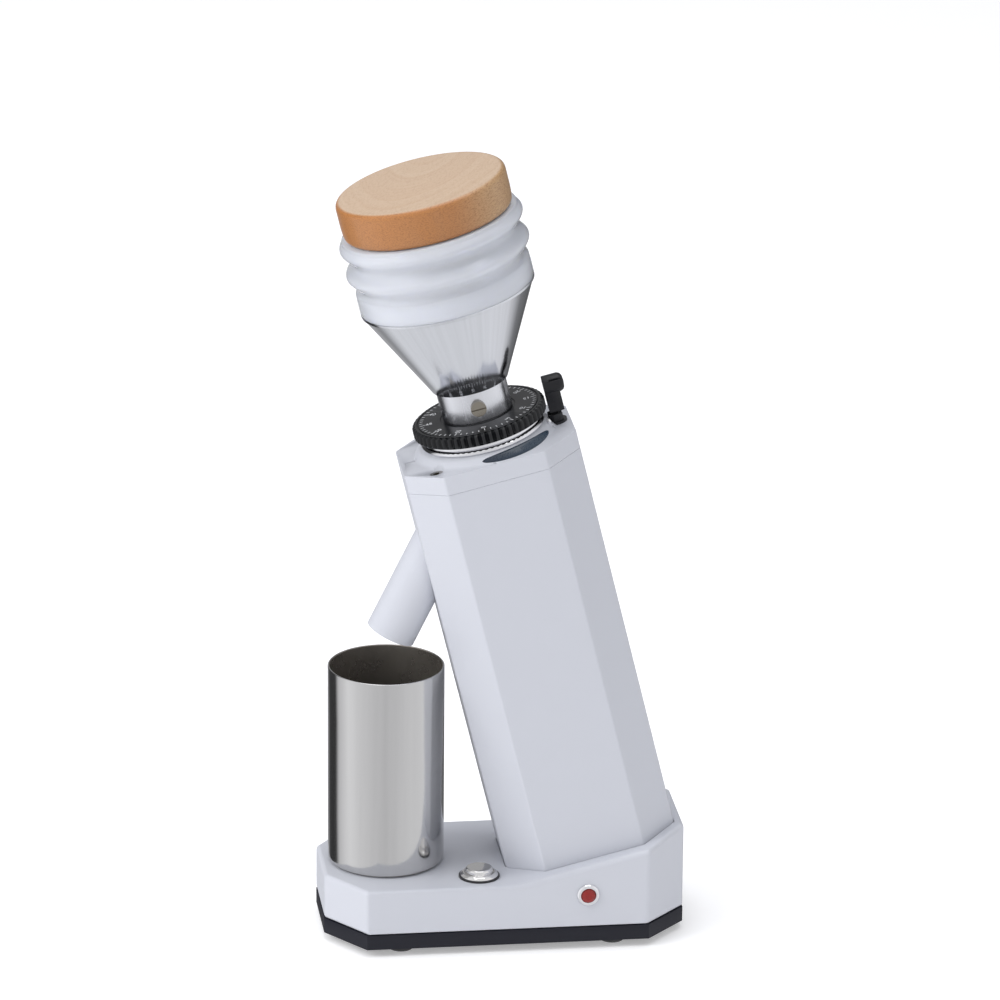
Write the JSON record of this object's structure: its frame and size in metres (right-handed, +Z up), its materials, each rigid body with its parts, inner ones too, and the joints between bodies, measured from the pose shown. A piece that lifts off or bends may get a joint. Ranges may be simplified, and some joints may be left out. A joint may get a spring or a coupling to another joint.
{
  "type": "burr coffee grinder",
  "caption": "Single-dose burr coffee grinder: leaning eight-sided tower on a wedge base, stepless dial, funnel with bellows and wooden lid, chute and steel dosing cup.",
  "frame": {"origin": "bottom centre of the base, on the surface it stands on", "axes": "+Z up; the cup and chute are on the -Y side, the mains inlet on the +Y side; +X is the side with the power button and the lamp"},
  "size_m": [0.0927, 0.18, 0.3953],
  "materials": {
    "white_paint": "satin white powder coat",
    "black_plastic": "matt moulded black",
    "dial_black": "satin black",
    "rubber": "matt black rubber",
    "screw_steel": "zinc plated",
    "cast_alloy": "as cast and machined",
    "chrome": "polished",
    "brushed_alloy": "turned and brushed",
    "polished_alloy": "polished",
    "cup_steel": "brushed stainless steel",
    "burr_steel": "hardened steel",
    "gear_brass": "machined",
    "silicone": "translucent white silicone",
    "ring_plastic": "moulded white",
    "maple": "oiled maple",
    "badge_blue": "glossy resin over dark blue",
    "red_lens": "clear red",
    "board_green": "solder mask"
  },
  "bodies": {
    "housing": {"base_housing": "white_paint", "bottom_tray": "black_plastic", "rubber_feet": "rubber", "foot_screws": "screw_steel", "tower_shell": "white_paint", "tower_screws": "screw_steel", "top_cap": "white_paint", "cap_screws": "screw_steel", "name_badge": "badge_blue", "grinding_chamber": "cast_alloy", "collar_ring": "chrome", "stop_pin": "chrome", "chute_tube": "white_paint", "chute_screws": "screw_steel", "lower_bearing": "screw_steel", "upper_bearing": "screw_steel", "bearing_clip": "screw_steel", "shaft_seal": "rubber", "carrier_spring": "screw_steel", "button_bezel": "chrome", "button_gasket": "rubber", "button_nut": "screw_steel", "button_spring": "screw_steel", "lamp_bezel": "chrome", "lamp_lens": "red_lens", "lever_socket": "black_plastic", "lever_pin": "screw_steel", "lever_springs": "screw_steel", "motor_can": "cast_alloy", "gearbox_housing": "cast_alloy", "motor_adapter": "cast_alloy", "adapter_screws": "screw_steel", "control_board": "board_green", "power_inlet": "black_plastic"},
    "shaft": {"drive_shaft": "screw_steel", "sweeper": "cup_steel", "cone_burr": "burr_steel", "burr_bolt": "screw_steel", "shaft_coupling": "cast_alloy", "planet_carrier": "cast_alloy"},
    "planet_gear_1": {"planet_1": "gear_brass"},
    "planet_gear_2": {"planet_2": "gear_brass"},
    "planet_gear_3": {"planet_3": "gear_brass"},
    "rotor": {"motor_rotor": "cast_alloy"},
    "thrust": {"thrust_ring": "screw_steel"},
    "dial": {"adjust_dial": "dial_black", "dial_screws": "screw_steel", "burr_carrier": "chrome", "ring_burr": "burr_steel", "ring_burr_screws": "screw_steel", "neck_ring": "brushed_alloy", "neck_screw": "chrome", "funnel": "polished_alloy", "bellows": "silicone"},
    "bellows_top": {"bellows_ring": "ring_plastic"},
    "lid": {"wood_lid": "maple", "lid_seal": "silicone"},
    "cup": {"dosing_cup": "cup_steel"},
    "button": {"button_cap": "chrome"},
    "lever": {"lock_lever": "black_plastic"}
  },
  "joints": [
    {"name": "burr_spin", "type": "hinge", "parent": "housing", "child": "shaft", "pos_m": [0, 0.00717, 0.19063], "axis": [0, -0.2419, 0.9703], "continuous": true},
    {"name": "motor_spin", "type": "hinge", "parent": "housing", "child": "rotor", "pos_m": [0, 0.02895, 0.10331], "axis": [0, -0.2419, 0.9703], "continuous": true},
    {"name": "planet_1_spin", "type": "hinge", "parent": "shaft", "child": "planet_gear_1", "pos_m": [0.009, 0.02024, 0.13824], "axis": [0, -0.2419, 0.9703], "continuous": true},
    {"name": "planet_2_spin", "type": "hinge", "parent": "shaft", "child": "planet_gear_2", "pos_m": [-0.0045, 0.0278, 0.14012], "axis": [0, -0.2419, 0.9703], "continuous": true},
    {"name": "planet_3_spin", "type": "hinge", "parent": "shaft", "child": "planet_gear_3", "pos_m": [-0.0045, 0.01267, 0.13635], "axis": [0, -0.2419, 0.9703], "continuous": true},
    {"name": "carrier_rise", "type": "slide", "parent": "housing", "child": "thrust", "axis": [0, -0.2419, 0.9703], "range_m": [-0.00063, 0.00063], "stiffness_N_per_m": 1000, "springref_m": 0.0056, "deforming": ["carrier_spring"]},
    {"name": "dial_turn", "type": "hinge", "parent": "thrust", "child": "dial", "pos_m": [0, -0.01145, 0.26534], "axis": [0, -0.2419, 0.9703], "range_deg": [-150, 150]},
    {"name": "bellows_press", "type": "slide", "parent": "dial", "child": "bellows_top", "axis": [0, 0.2419, -0.9703], "range_m": [0, 0.016], "stiffness_N_per_m": 400, "springref_m": -0.004, "deforming": ["bellows"]},
    {"name": "lid_lift", "type": "slide", "parent": "bellows_top", "child": "lid", "axis": [0, -0.2419, 0.9703], "range_m": [0, 0.06]},
    {"name": "cup_out", "type": "slide", "parent": "housing", "child": "cup", "axis": [0, -1, 0], "range_m": [0, 0.12]},
    {"name": "button_press", "type": "slide", "parent": "housing", "child": "button", "axis": [0, 0, -1], "range_m": [0, 0.0025], "stiffness_N_per_m": 800, "springref_m": -0.002, "deforming": ["button_spring"]},
    {"name": "lever_tilt", "type": "hinge", "parent": "housing", "child": "lever", "pos_m": [0, 0.02624, 0.26505], "axis": [-1, 0, 0], "range_deg": [0, 12], "stiffness_Nm_per_rad": 0.05, "springref_deg": -17.19}
  ],
  "couplings": [
    {"joint": "motor_spin", "follows": "burr_spin", "ratio": 5},
    {"joint": "planet_1_spin", "follows": "burr_spin", "ratio": -2.6667},
    {"joint": "planet_2_spin", "follows": "burr_spin", "ratio": -2.6667},
    {"joint": "planet_3_spin", "follows": "burr_spin", "ratio": -2.6667},
    {"joint": "carrier_rise", "follows": "dial_turn", "m_per_rad": 0.00023873}
  ]
}
